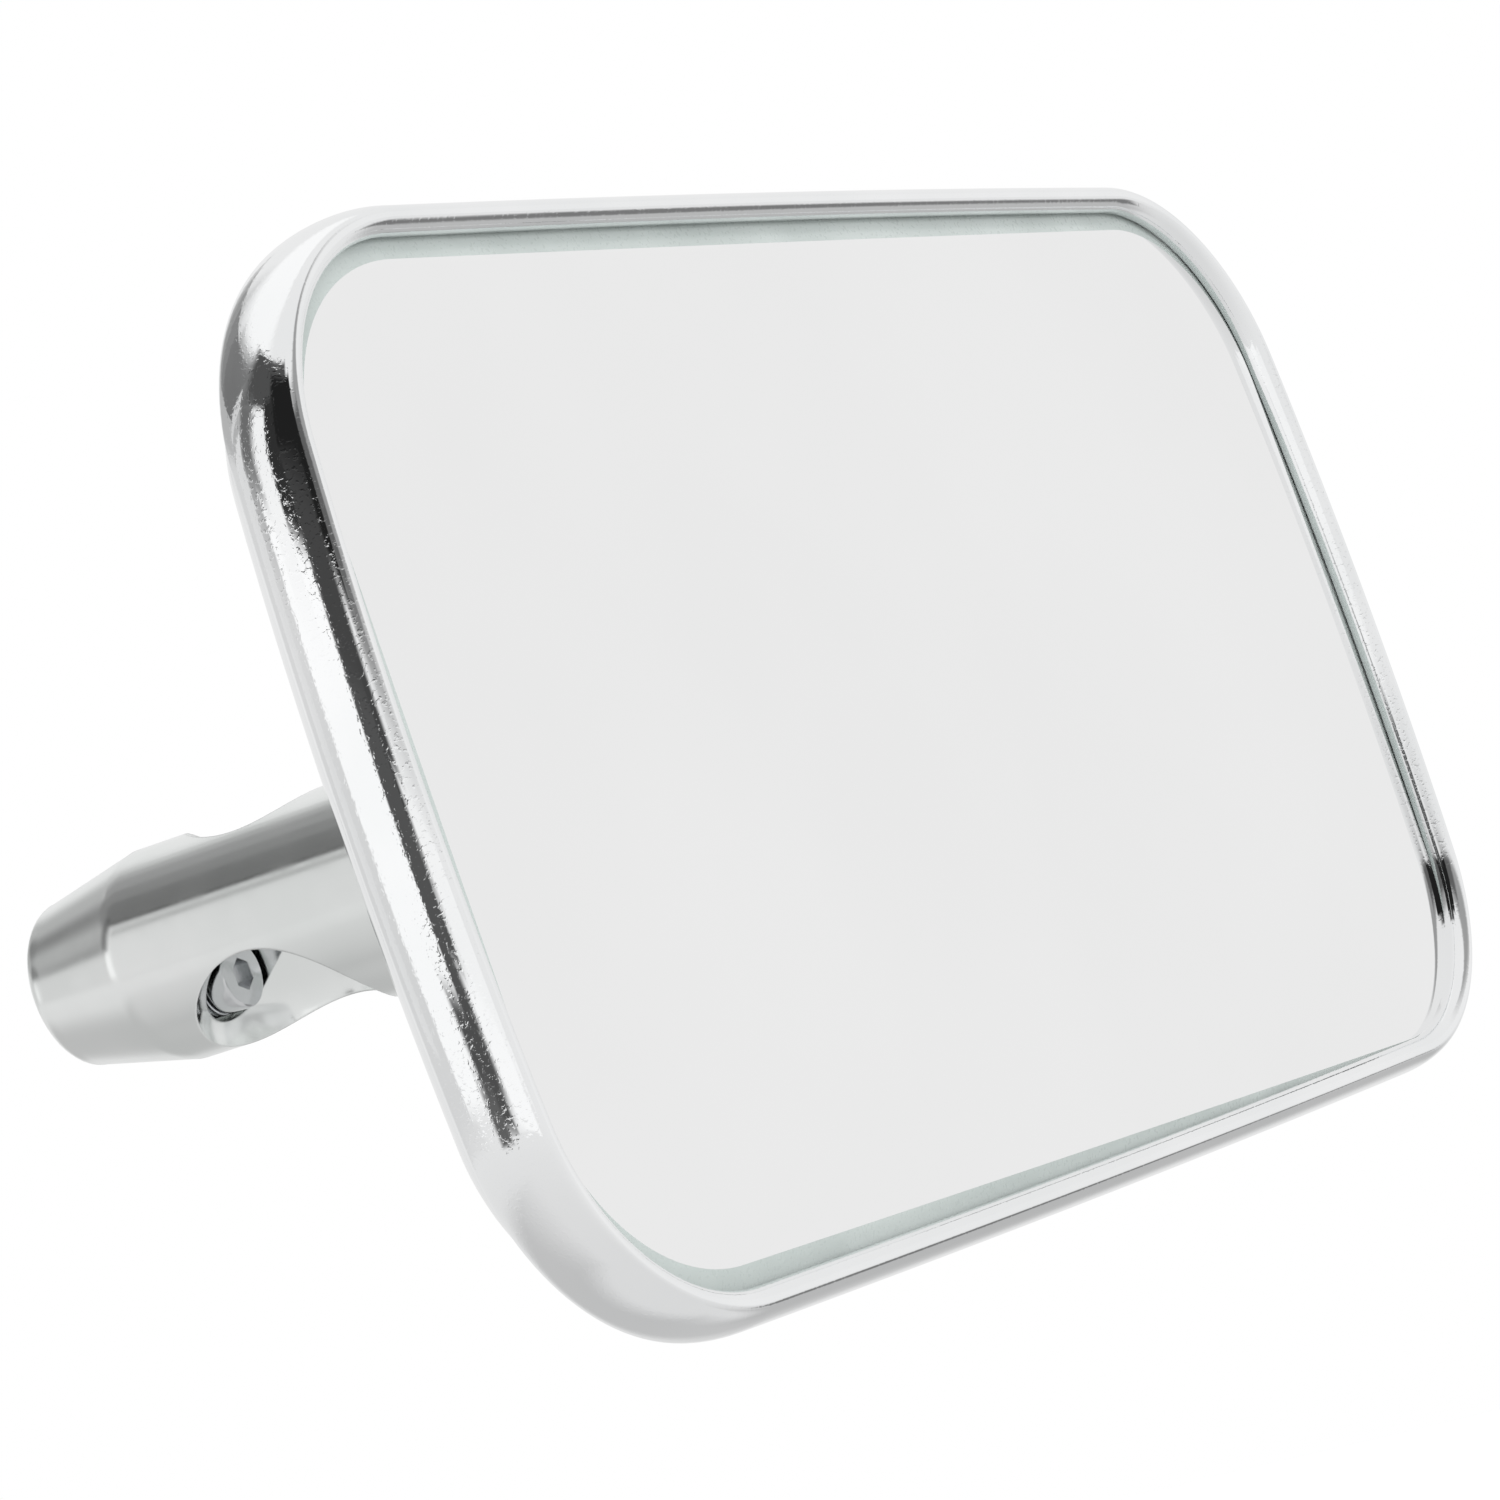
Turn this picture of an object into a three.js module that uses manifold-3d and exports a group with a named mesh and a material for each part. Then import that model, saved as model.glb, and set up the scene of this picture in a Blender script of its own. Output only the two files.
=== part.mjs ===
// Exterior mirror head on a short round arm, joined by a ball joint.
// Millimetres, +Z up. The origin is the centre of the arm's flat end face, which bolts to the vehicle;
// +Y points out of that face into the vehicle, and the glass looks towards -Y.
import * as THREE from "three";
import { mergeVertices } from "three/addons/utils/BufferGeometryUtils.js";
import Module from "manifold-3d";

// ---- driving dimensions -------------------------------------------------------------------------

const GAP = 0.3; // clearance between pieces that touch

const ARM_RADIUS = 11.2;
const NOSE_LENGTH = 12.75; // tapered end of the arm
const NOSE_RADIUS = 8.8; // at the end face
const NOSE_EDGE = 1.2; // rounded edge round the end face
const BALL_Y = -90.5; // centre of the ball joint
const ARM_FRONT = BALL_Y + 19;
const ARM_DOME = 4; // rounded front end of the arm
const ARM_ROLL = 21; // degrees: the driver pockets are turned this far about the arm

const POCKET_RADIUS = 10.2; // ball-ended pocket
const POCKET_Y = -27.7;
const POCKET_CENTRE = 11; // from the arm's axis
const SEAT_Y = -17; // flat end wall of the pocket, under the screw
const SEAT_RADIUS = 4.1;

const SCREW_OFFSET = 4.6; // from the arm's axis
const SCREW_RADIUS = 2;
const SCREW_HEAD_RADIUS = 3.5;
const SCREW_HEAD_HEIGHT = 2.8;
const SCREW_SOCKET_RADIUS = 1.75; // across the corners of the hexagon
const SCREW_SOCKET_DEPTH = 1.8;
const SCREW_TIP_Y = -0.8; // backed off, inside the end face
const SCREW_TIP_BEVEL = 0.6;
const SCREW_HEAD_BEVEL = 0.3;
const WASHER_HEIGHT = 0.8;

const BALL_RADIUS = 7.5;
const NECK_RADIUS = 4;
const STUD_FLANGE_RADIUS = 6;
const STUD_FLANGE_HEIGHT = 1.4;
const SHANK_RADIUS = 5;
const SHANK_END_Y = -55;
const PIN_Y = -62;
const PIN_RADIUS = 1.5;
const PIN_HALF_LENGTH = 10;

const HEAD_PAN = -8; // degrees about +Z, away from square on the arm
const HEAD_TILT = -3.5; // degrees about the head's own X axis
const BEAD_HEIGHT = 16; // from the ball's centre forward to the bezel's bead

// Rounded rectangles: half sizes, corner radius, and how far the sides and the top bow outward.
const OUTSIDE = { halfWidth: 82.9, halfHeight: 49.2, corner: 22.3, sideBow: 1.05, topBow: 0.36 };
const FLAT = { halfWidth: 78.05, halfHeight: 44.45, corner: 18, sideBow: 0.1, topBow: 0.1 };

const BEAD_RADIUS = 1.55; // inner half of the bezel's rolled front
const BEAD_BACK = -0.5; // underside of the bead, clear of the glass
const BEZEL_WIDEST = -3.2; // the outside swells gently to here
const BEZEL_TUCK = 0.9; // how far the outside curls in again at the rear
const BEZEL_WALL = 0.9;
const BEZEL_REAR = -6.5;
const BEZEL_HEM = 3; // rear edge rolled in over the shell

const GLASS_INSET = BEZEL_WALL + GAP;
const GLASS_FRONT = -0.6;
const GLASS_BACK = -3.2;
const GRIND_DROP = 0.9; // of the ground rim, from the flat to the edge of the glass
const FLAT_ACROSS = 0.4; // the flat sits a little off the middle of the glass
const FLAT_UP = -0.4;
const FLAT_SLOPE = -0.016; // and its lower edge runs downhill

const SHELL_WALL = 0.8;
const SHELL_FRONT = -4.8; // top of the flange that the bezel's hem holds
const SHELL_FLANGE_BACK = BEZEL_REAR + 1;
const SHELL_BACK = -25; // end of the boss round the arm
const DISH_RADIUS = 30; // where the shell's slope turns round
const BOSS_RADIUS = 17.2;
const COLLAR_OPENING = 13.9; // hole in the boss

// Facets round a full turn, for large, middling and small round pieces.
const LARGE_FACETS = 40;
const MEDIUM_FACETS = 28;
const SMALL_FACETS = 16;

// ---- materials ----------------------------------------------------------------------------------

function finish(color, roughness, metalness) {
  return new THREE.MeshStandardMaterial({ color, roughness, metalness });
}

const chrome = finish(0xe4e6e6, 0.08, 1);
const satinChrome = finish(0xd8dad9, 0.22, 1);
const zincSteel = finish(0xb4b7b8, 0.35, 1);
const blackSteel = finish(0x3a3c3e, 0.5, 0.8);
const glass = finish(0xc2d0cb, 0.05, 0);
const silver = finish(0xeaeaea, 0.03, 1);
const foam = finish(0x5a5c5e, 0.95, 0);
const rubber = finish(0x2a2b2c, 0.85, 0);
const nylon = finish(0xe6e3da, 0.5, 0);

// ---- solids -------------------------------------------------------------------------------------

const wasm = await Module();
wasm.setup();

// A closed geometry with shared vertices, its faces pointing out.
function closed(geometry) {
  const bare = geometry.clone();
  bare.deleteAttribute("normal");
  bare.deleteAttribute("uv");
  const merged = mergeVertices(bare, 1e-4);
  const corners = merged.index.array;
  const faces = [];
  for (let i = 0; i < corners.length; i += 3) {
    const [a, b, c] = [corners[i], corners[i + 1], corners[i + 2]];
    if (a !== b && b !== c && c !== a) faces.push([a, b, c]);
  }
  const flipped = signedVolume(merged, faces) < 0;
  merged.setIndex(faces.flatMap(([a, b, c]) => (flipped ? [a, c, b] : [a, b, c])));
  return merged;
}

function signedVolume(geometry, faces) {
  const at = (i) => new THREE.Vector3().fromBufferAttribute(geometry.attributes.position, i);
  return faces.reduce((sum, [a, b, c]) => sum + at(a).dot(at(b).cross(at(c))), 0);
}

function toSolid(geometry) {
  const source = closed(geometry);
  return new wasm.Manifold(
    new wasm.Mesh({
      numProp: 3,
      vertProperties: new Float32Array(source.attributes.position.array),
      triVerts: new Uint32Array(source.index.array),
    }),
  );
}

function fromSolid(solid) {
  const mesh = solid.getMesh();
  const geometry = new THREE.BufferGeometry();
  geometry.setAttribute("position", new THREE.BufferAttribute(mesh.vertProperties, mesh.numProp));
  geometry.setIndex(new THREE.BufferAttribute(mesh.triVerts, 1));
  return geometry;
}

function cut(base, tools) {
  return fromSolid(tools.reduce((solid, tool) => solid.subtract(toSolid(tool)), toSolid(base)));
}

function join(pieces) {
  return fromSolid(pieces.map(toSolid).reduce((a, b) => a.add(b)));
}

function node(name, geometry, material) {
  const mesh = new THREE.Mesh(closed(geometry), material);
  mesh.name = name;
  return mesh;
}

function points(pairs) {
  return pairs.map(([x, y]) => new THREE.Vector2(x, y));
}

// Points on an arc from one angle to another, in degrees.
function arc(x, y, radius, from, to, steps) {
  return Array.from({ length: steps + 1 }, (_, i) => {
    const angle = THREE.MathUtils.degToRad(from + ((to - from) * i) / steps);
    return [x + radius * Math.cos(angle), y + radius * Math.sin(angle)];
  });
}

// The same on an ellipse, with its two half-widths.
function oval(x, y, halfWidth, halfHeight, from, to, steps) {
  return arc(0, 0, 1, from, to, steps).map(([a, b]) => [x + halfWidth * a, y + halfHeight * b]);
}

// Turned about Y from [radius, y] pairs: a profile that starts and ends on the axis.
function turned(pairs, segments = MEDIUM_FACETS) {
  return new THREE.LatheGeometry(points(pairs), segments);
}

// A turned ring: its profile closes on itself.
function turnedRing(pairs, segments = MEDIUM_FACETS) {
  return turned([...pairs, pairs[0]], segments);
}

// Turned about Z, the way the head's pieces face.
function facing(geometry) {
  return geometry.rotateX(Math.PI / 2);
}

function rod(radius, from, to, segments = SMALL_FACETS) {
  return turned([[0, from], [radius, from], [radius, to], [0, to]], segments);
}

function hexPrism(radius, from, to) {
  return new THREE.CylinderGeometry(radius, radius, to - from, 6).translate(0, (from + to) / 2, 0);
}

// ---- the head's outline -------------------------------------------------------------------------

const CORNER_STEPS = 8;
const SIDE_STEPS = 3;

// A rounded rectangle with slightly bowed sides, moved inward by an inset.
// Each side is a long arc that runs into the corner arcs without a crease.
function outline(inset, { halfWidth, halfHeight, corner, sideBow, topBow } = OUTSIDE) {
  const sideRadius = bowRadius(halfHeight - corner, sideBow);
  const topRadius = bowRadius(halfWidth - corner, topBow);
  let [x, y] = [halfWidth - corner, halfHeight - corner];
  for (let i = 0; i < 20; i += 1) {
    x = halfWidth - sideRadius + Math.sqrt((sideRadius - corner) ** 2 - y ** 2);
    y = halfHeight - topRadius + Math.sqrt((topRadius - corner) ** 2 - x ** 2);
  }
  const toSide = THREE.MathUtils.radToDeg(Math.atan2(y, x - halfWidth + sideRadius));
  const toTop = THREE.MathUtils.radToDeg(Math.atan2(y - halfHeight + topRadius, x));
  const right = arc(halfWidth - sideRadius, 0, sideRadius - inset, -toSide, toSide, SIDE_STEPS);
  const upperCorner = arc(x, y, corner - inset, toSide, toTop, CORNER_STEPS);
  const top = arc(0, halfHeight - topRadius, topRadius - inset, toTop, 180 - toTop, SIDE_STEPS);
  const half = [...right.slice(0, -1), ...upperCorner.slice(0, -1), ...top.slice(0, -1)];
  const leftCorner = arc(-x, y, corner - inset, 180 - toTop, 180 - toSide, CORNER_STEPS);
  const upper = [...half, ...leftCorner.slice(0, -1)];
  return [...upper, ...upper.map(([a, b]) => [-a, -b])];
}

function bowRadius(halfChord, bow) {
  return (halfChord ** 2 + bow ** 2) / (2 * bow);
}

// A circle with as many evenly spaced points as the outline, mirrored about the same two axes.
function ringOutline(radius) {
  const count = outline(0).length;
  return Array.from({ length: count }, (_, i) => {
    const angle = ((i - SIDE_STEPS / 2) * 2 * Math.PI) / count;
    return [radius * Math.cos(angle), radius * Math.sin(angle)];
  });
}

// Part of the way from the outline at an inset to a circle.
function blendOutline(inset, radius, share) {
  const circle = ringOutline(radius);
  return outline(inset).map(([x, y], i) => [
    x + (circle[i][0] - x) * share,
    y + (circle[i][1] - y) * share,
  ]);
}

function level(contour, z) {
  return contour.map(([x, y]) => new THREE.Vector3(x, y, z));
}

// A wall that runs through levels of equal point counts. It closes into a ring, or gets flat ends.
function lofted(levels, isRing) {
  const count = levels[0].length;
  const vertices = levels.flat();
  const faces = [];
  const bands = isRing ? levels.length : levels.length - 1;
  for (let band = 0; band < bands; band += 1) {
    const [low, high] = [band * count, ((band + 1) % levels.length) * count];
    for (let i = 0; i < count; i += 1) {
      const next = (i + 1) % count;
      faces.push([low + i, low + next, high + next], [low + i, high + next, high + i]);
    }
  }
  if (!isRing) {
    const last = (levels.length - 1) * count;
    for (let i = 1; i < count - 1; i += 1) {
      faces.push([0, i + 1, i], [last, last + i, last + i + 1]);
    }
  }
  const geometry = new THREE.BufferGeometry().setFromPoints(vertices);
  geometry.setIndex(faces.flat());
  return geometry;
}

function plate(inset, back, front) {
  return lofted([level(outline(inset), back), level(outline(inset), front)], false);
}

// ---- arm ----------------------------------------------------------------------------------------

function armBlank() {
  return turned(
    [
      [0, 0],
      ...arc(NOSE_RADIUS - NOSE_EDGE, -NOSE_EDGE, NOSE_EDGE, 90, 0, 4),
      [ARM_RADIUS, -NOSE_LENGTH],
      ...arc(ARM_RADIUS - ARM_DOME, ARM_FRONT + ARM_DOME, ARM_DOME, 0, -90, 4),
      [0, ARM_FRONT],
    ],
    LARGE_FACETS,
  );
}

function pocketTools(side) {
  const scoop = new THREE.SphereGeometry(POCKET_RADIUS, 24, 14);
  scoop.translate(0, POCKET_Y, side * POCKET_CENTRE);
  const seat = rod(SEAT_RADIUS, POCKET_Y, SEAT_Y, MEDIUM_FACETS).translate(0, 0, side * SCREW_OFFSET);
  const hole = rod(SCREW_RADIUS + GAP, SEAT_Y - 1, 1).translate(0, 0, side * SCREW_OFFSET);
  return [scoop, seat, hole];
}

function armCasting() {
  const bore = rod(SHANK_RADIUS + GAP, ARM_FRONT - 1, SHANK_END_Y + GAP, MEDIUM_FACETS);
  const pinHole = rod(PIN_RADIUS + GAP, -ARM_RADIUS - 1, ARM_RADIUS + 1);
  pinHole.rotateZ(Math.PI / 2).translate(0, PIN_Y, 0);
  return cut(armBlank(), [...pocketTools(-1), ...pocketTools(1), bore, pinHole]);
}

function mountingScrew() {
  const seat = SEAT_Y - WASHER_HEIGHT - 2 * GAP;
  const top = seat - SCREW_HEAD_HEIGHT;
  const body = turned(
    [
      [0, SCREW_TIP_Y],
      [SCREW_RADIUS - SCREW_TIP_BEVEL, SCREW_TIP_Y],
      [SCREW_RADIUS, SCREW_TIP_Y - SCREW_TIP_BEVEL],
      [SCREW_RADIUS, seat],
      [SCREW_HEAD_RADIUS, seat],
      [SCREW_HEAD_RADIUS, top + SCREW_HEAD_BEVEL],
      [SCREW_HEAD_RADIUS - SCREW_HEAD_BEVEL, top],
      [0, top],
    ],
    MEDIUM_FACETS,
  );
  return cut(body, [hexPrism(SCREW_SOCKET_RADIUS, top - 1, top + SCREW_SOCKET_DEPTH)]);
}

function screwWasher() {
  const front = SEAT_Y - GAP - WASHER_HEIGHT;
  const back = SEAT_Y - GAP;
  const [inner, outer] = [SCREW_RADIUS + GAP, SCREW_HEAD_RADIUS];
  return turnedRing([[inner, front], [outer, front], [outer, back], [inner, back]], SMALL_FACETS);
}

function ballStud() {
  const neckAngle = THREE.MathUtils.radToDeg(Math.acos(NECK_RADIUS / BALL_RADIUS));
  const flangeBack = ARM_FRONT - GAP;
  const flangeFront = flangeBack - STUD_FLANGE_HEIGHT;
  const body = turned([
    ...arc(0, BALL_Y, BALL_RADIUS, -90, neckAngle, 10),
    [NECK_RADIUS, flangeFront - 1],
    [NECK_RADIUS + 1, flangeFront],
    [STUD_FLANGE_RADIUS, flangeFront],
    [STUD_FLANGE_RADIUS, flangeBack],
    [SHANK_RADIUS, flangeBack],
    [SHANK_RADIUS, SHANK_END_Y - 1],
    [SHANK_RADIUS - 1, SHANK_END_Y],
    [0, SHANK_END_Y],
  ]);
  const pinHole = rod(PIN_RADIUS + GAP, -SHANK_RADIUS - 1, SHANK_RADIUS + 1);
  pinHole.rotateZ(Math.PI / 2).translate(0, PIN_Y, 0);
  return cut(body, [pinHole]);
}

function lockPin() {
  return rod(PIN_RADIUS, -PIN_HALF_LENGTH, PIN_HALF_LENGTH).rotateZ(Math.PI / 2).translate(0, PIN_Y, 0);
}

function makeArm() {
  const arm = new THREE.Group();
  arm.rotation.y = THREE.MathUtils.degToRad(ARM_ROLL);
  arm.add(node("arm_casting", armCasting(), satinChrome));
  arm.add(node("ball_stud", ballStud(), zincSteel));
  arm.add(node("stud_lock_pin", lockPin(), zincSteel));
  for (const [place, side] of [["lower", -1], ["upper", 1]]) {
    const offset = side * SCREW_OFFSET;
    arm.add(node(`mounting_screw_${place}`, mountingScrew().translate(0, 0, offset), zincSteel));
    arm.add(node(`screw_washer_${place}`, screwWasher().translate(0, 0, offset), zincSteel));
  }
  return arm;
}

// ---- ball socket: heights are forward from the ball's centre -------------------------------------

const LINER_INNER = BALL_RADIUS + GAP;
const LINER_OUTER = LINER_INNER + 0.8;
const CAVITY_RADIUS = LINER_OUTER + GAP;
const RING_RADIUS = 10.4; // pressure ring
const BORE_RADIUS = RING_RADIUS + 0.4; // housing round the pressure ring

const HOUSING_FRONT = 5;
const HOUSING_BACK = -10.6;
const HOUSING_MOUTH = 12; // radius the arm's neck can swing in
const HOUSING_NECK = COLLAR_OPENING - GAP;
const HOUSING_WALL = 13.4;
const HOUSING_FLANGE = 16.8; // sits inside the shell's boss
const FLANGE_BACK = SHELL_BACK + SHELL_WALL + BEAD_HEIGHT + GAP;
const FLANGE_HEIGHT = 2.4;

const CLAMP_SCREWS = 3;
const CLAMP_SCREW_CIRCLE = 15.5;
const CLAMP_SCREW_RADIUS = 1.5;
const CLAMP_SCREW_END = -2.8;
const CLAMP_HEAD_RADIUS = 2.8;
const CLAMP_HEAD_HEIGHT = 1.2;
const CLAMP_HEAD_BEVEL = 0.45;
const CLAMP_BOSS_RADIUS = 3.4;
const CLAMP_BOSS_BACK = -4.5;

const PLATE_BACK = HOUSING_FRONT + 1;
const PLATE_FRONT = PLATE_BACK + 1.2;
const PLATE_OPENING = 7.2;
const PLATE_LOBE = 4.4; // round each clamp screw

const SPRING_INNER = 8.2;
const SPRING_OUTER = 10.3;
const SPRING_THICKNESS = 0.6;
const SPRING_RISE = 0.5; // of the inner edge over the outer

const COLLAR_OUTER = 17.2;
const COLLAR_FRONT = SHELL_BACK + BEAD_HEIGHT - GAP;
const COLLAR_BACK = COLLAR_FRONT - 1.5;
const COLLAR_BEVEL = 0.8;

// Split sleeve round the ball; angles are from the equator, negative towards the arm.
function ballLiner() {
  const section = [...arc(0, 0, LINER_INNER, -24, 32, 6), ...arc(0, 0, LINER_OUTER, 32, -24, 6)];
  return facing(turnedRing(section));
}

function pressureRing() {
  const inner = arc(0, 0, CAVITY_RADIUS, 13, 28, 3);
  const [low, high] = [inner[0][1], inner[3][1]];
  return facing(turnedRing([...inner, [RING_RADIUS, high], [RING_RADIUS, low]]));
}

function socketHousing() {
  const cup = turnedRing(
    [
      ...arc(0, 0, CAVITY_RADIUS, 3, -26, 5),
      [HOUSING_MOUTH, HOUSING_BACK],
      [HOUSING_NECK, HOUSING_BACK],
      [HOUSING_NECK, FLANGE_BACK],
      [HOUSING_FLANGE, FLANGE_BACK],
      [HOUSING_FLANGE, FLANGE_BACK + FLANGE_HEIGHT],
      [HOUSING_WALL, FLANGE_BACK + FLANGE_HEIGHT + HOUSING_FLANGE - HOUSING_WALL],
      [HOUSING_WALL, HOUSING_FRONT],
      [BORE_RADIUS, HOUSING_FRONT],
      [BORE_RADIUS, 0.5],
    ],
    LARGE_FACETS,
  );
  const boss = (place) => atPlace(rod(CLAMP_BOSS_RADIUS, CLAMP_BOSS_BACK, HOUSING_FRONT), place);
  const bottom = CLAMP_SCREW_END - GAP;
  const hole = (place) => atPlace(rod(CLAMP_SCREW_RADIUS + GAP, bottom, HOUSING_FRONT + 1), place);
  const cast = join([cup, ...clampScrewPlaces().map(boss)]);
  return facing(cut(cast, clampScrewPlaces().map(hole)));
}

function clampScrewPlaces() {
  return Array.from({ length: CLAMP_SCREWS }, (_, i) => {
    const angle = THREE.MathUtils.degToRad(90 + (360 * i) / CLAMP_SCREWS);
    return [CLAMP_SCREW_CIRCLE * Math.cos(angle), CLAMP_SCREW_CIRCLE * Math.sin(angle)];
  });
}

// Moves a piece turned about Y to a clamp screw's place, before it is turned to face forward.
function atPlace(geometry, [x, y]) {
  return geometry.translate(x, 0, -y);
}

function discSpring() {
  const outerBack = HOUSING_FRONT - SPRING_RISE;
  const section = [
    [SPRING_INNER, HOUSING_FRONT],
    [SPRING_OUTER, outerBack],
    [SPRING_OUTER, outerBack + SPRING_THICKNESS],
    [SPRING_INNER, HOUSING_FRONT + SPRING_THICKNESS],
  ];
  return facing(turnedRing(section));
}

function clampPlate() {
  const shape = new THREE.Shape();
  clampScrewPlaces().forEach(([x, y]) => {
    const angle = Math.atan2(y, x);
    shape.absarc(x, y, PLATE_LOBE, angle - Math.PI / 3, angle + Math.PI / 3, false);
  });
  shape.closePath();
  const opening = (x, y, radius) => new THREE.Path().absarc(x, y, radius, 0, Math.PI * 2, true);
  shape.holes.push(opening(0, 0, PLATE_OPENING));
  clampScrewPlaces().forEach(([x, y]) => {
    shape.holes.push(opening(x, y, CLAMP_SCREW_RADIUS + GAP));
  });
  const depth = PLATE_FRONT - PLATE_BACK;
  return new THREE.ExtrudeGeometry(shape, { depth, bevelEnabled: false, curveSegments: 8 })
    .translate(0, 0, PLATE_BACK);
}

function clampScrew(place) {
  const seat = PLATE_FRONT + GAP;
  const top = seat + CLAMP_HEAD_HEIGHT;
  const body = turned(
    [
      [0, CLAMP_SCREW_END],
      [CLAMP_SCREW_RADIUS - CLAMP_HEAD_BEVEL, CLAMP_SCREW_END],
      [CLAMP_SCREW_RADIUS, CLAMP_SCREW_END + CLAMP_HEAD_BEVEL],
      [CLAMP_SCREW_RADIUS, seat],
      [CLAMP_HEAD_RADIUS, seat],
      [CLAMP_HEAD_RADIUS, top - CLAMP_HEAD_BEVEL],
      [CLAMP_HEAD_RADIUS - CLAMP_HEAD_BEVEL, top],
      [0, top],
    ],
    SMALL_FACETS,
  );
  const slot = new THREE.BoxGeometry(3 * CLAMP_HEAD_RADIUS, CLAMP_HEAD_HEIGHT, 0.7).translate(0, top, 0);
  return facing(atPlace(cut(body, [slot]), place));
}

function collarRing() {
  const section = [
    [COLLAR_OPENING, COLLAR_BACK],
    [COLLAR_OUTER - COLLAR_BEVEL, COLLAR_BACK],
    [COLLAR_OUTER, COLLAR_BACK + COLLAR_BEVEL],
    [COLLAR_OUTER, COLLAR_FRONT],
    [COLLAR_OPENING, COLLAR_FRONT],
  ];
  return facing(turnedRing(section, LARGE_FACETS));
}

// ---- head: heights are forward from the bezel's bead ----------------------------------------------

function bezelRing() {
  const hemFront = BEZEL_REAR + 0.7;
  const frontHeight = BEAD_RADIUS - BEZEL_WIDEST;
  const rearHeight = BEZEL_WIDEST - BEZEL_REAR;
  const section = [
    ...arc(BEAD_RADIUS, 0, BEAD_RADIUS, 0, 90, 3),
    ...oval(BEAD_RADIUS, BEZEL_WIDEST, BEAD_RADIUS, frontHeight, 90, 180, 6).slice(1),
    ...oval(BEZEL_TUCK, BEZEL_WIDEST, BEZEL_TUCK, rearHeight, 180, 270, 4).slice(1),
    [BEZEL_HEM, BEZEL_REAR],
    [BEZEL_HEM, hemFront],
    [BEZEL_WALL, hemFront],
    [BEZEL_WALL, BEAD_BACK],
    [2 * BEAD_RADIUS - 0.15, BEAD_BACK],
  ];
  return lofted(section.map(([inset, z]) => level(outline(inset), z)), true);
}

// A dish that slopes in from the bezel, flattens, and rises to a round boss for the arm.
function backShell() {
  const flangeInset = BEZEL_WALL + GAP;
  const wallInset = BEZEL_HEM + GAP;
  const outside = [
    level(outline(flangeInset), SHELL_FRONT),
    level(outline(flangeInset), SHELL_FLANGE_BACK),
    level(outline(wallInset), SHELL_FLANGE_BACK),
    level(outline(3.7), -8),
    level(outline(5.6), -11),
    level(outline(10), -14.4),
    level(outline(16), -17),
    level(blendOutline(18, DISH_RADIUS, 0.5), -19),
    level(ringOutline(DISH_RADIUS), -20),
    level(ringOutline(22), -21.4),
    level(ringOutline(19.2), -23.2),
    level(ringOutline(18.2), -24.6),
    level(ringOutline(BOSS_RADIUS), SHELL_BACK),
    level(ringOutline(COLLAR_OPENING), SHELL_BACK),
  ];
  const innerDish = DISH_RADIUS - SHELL_WALL / 2;
  const inside = [
    level(ringOutline(COLLAR_OPENING), SHELL_BACK + SHELL_WALL),
    level(ringOutline(17), SHELL_BACK + SHELL_WALL),
    level(ringOutline(18.2), -22.8),
    level(ringOutline(21.4), -20.6),
    level(ringOutline(innerDish), -20 + SHELL_WALL),
    level(blendOutline(18.2, innerDish, 0.5), -19 + SHELL_WALL),
    level(outline(16.2), -17 + SHELL_WALL),
    level(outline(10.5), -13.7),
    level(outline(6.3), -10.5),
    level(outline(wallInset + 1.2), -7.8),
    level(outline(wallInset + 0.9), SHELL_FRONT),
  ];
  return lofted([...outside, ...inside], true);
}

// The edge of the polished flat. The ground rim round it narrows along the bottom.
function flatOutline() {
  return outline(0, FLAT).map(([x, y]) => {
    const lowness = (FLAT.halfHeight - y) / (2 * FLAT.halfHeight);
    return [x + FLAT_ACROSS, y + FLAT_UP + FLAT_SLOPE * x * lowness];
  });
}

function mirrorGlass() {
  return lofted(
    [
      level(outline(GLASS_INSET), GLASS_BACK),
      level(outline(GLASS_INSET), GLASS_FRONT - GRIND_DROP),
      level(flatOutline(), GLASS_FRONT),
    ],
    false,
  );
}

function edgeGasket() {
  const [outer, inner] = [outline(1.4), outline(5)];
  const back = SHELL_FRONT + GAP;
  const front = GLASS_BACK - GAP;
  return lofted([level(outer, back), level(outer, front), level(inner, front), level(inner, back)], true);
}

function makeHead() {
  const head = new THREE.Group();
  const face = new THREE.Group();
  face.position.z = BEAD_HEIGHT;
  face.add(node("bezel_ring", bezelRing(), chrome));
  face.add(node("back_shell", backShell(), chrome));
  face.add(node("mirror_glass", mirrorGlass(), glass));
  face.add(node("silver_backing", plate(5.3, -3.8, -3.5), silver));
  face.add(node("glass_cushion", plate(5.6, -5.6, -4.1), foam));
  face.add(node("edge_gasket", edgeGasket(), rubber));
  face.add(node("backing_plate", plate(6, -6.9, -5.9), blackSteel));
  head.add(face);
  head.add(node("socket_housing", socketHousing(), zincSteel));
  head.add(node("disc_spring", discSpring(), blackSteel));
  head.add(node("clamp_plate", clampPlate(), zincSteel));
  clampScrewPlaces().forEach((place, i) => {
    head.add(node(`clamp_screw_${i + 1}`, clampScrew(place), zincSteel));
  });
  head.add(node("collar_ring", collarRing(), chrome));
  head.add(node("pressure_ring", pressureRing(), zincSteel));
  return head;
}

// ---- assembly -----------------------------------------------------------------------------------

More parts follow.
